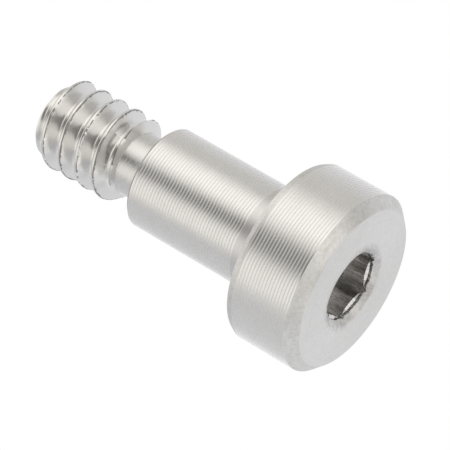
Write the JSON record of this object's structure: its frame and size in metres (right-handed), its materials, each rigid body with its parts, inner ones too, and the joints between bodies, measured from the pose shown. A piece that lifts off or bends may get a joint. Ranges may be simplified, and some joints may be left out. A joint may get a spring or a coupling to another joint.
{
  "type": "shoulder bolt",
  "caption": "Turned shoulder bolt with a hexagon socket head, a plain turned shoulder and a shorter, smaller right-hand thread.",
  "frame": {"origin": "centre of the head's face, on the surface that the bolt stands on", "axes": "+Z along the bolt's axis, from the head's face to the thread's tip; a corner of the hexagon socket points along +Y"},
  "size_m": [0.007, 0.007, 0.0137],
  "materials": {
    "steel": "bare stainless steel, turned, with fine feed marks on the head's side and the shoulder"
  },
  "bodies": {
    "root": {"shoulder_bolt": "steel"}
  },
  "joints": []
}
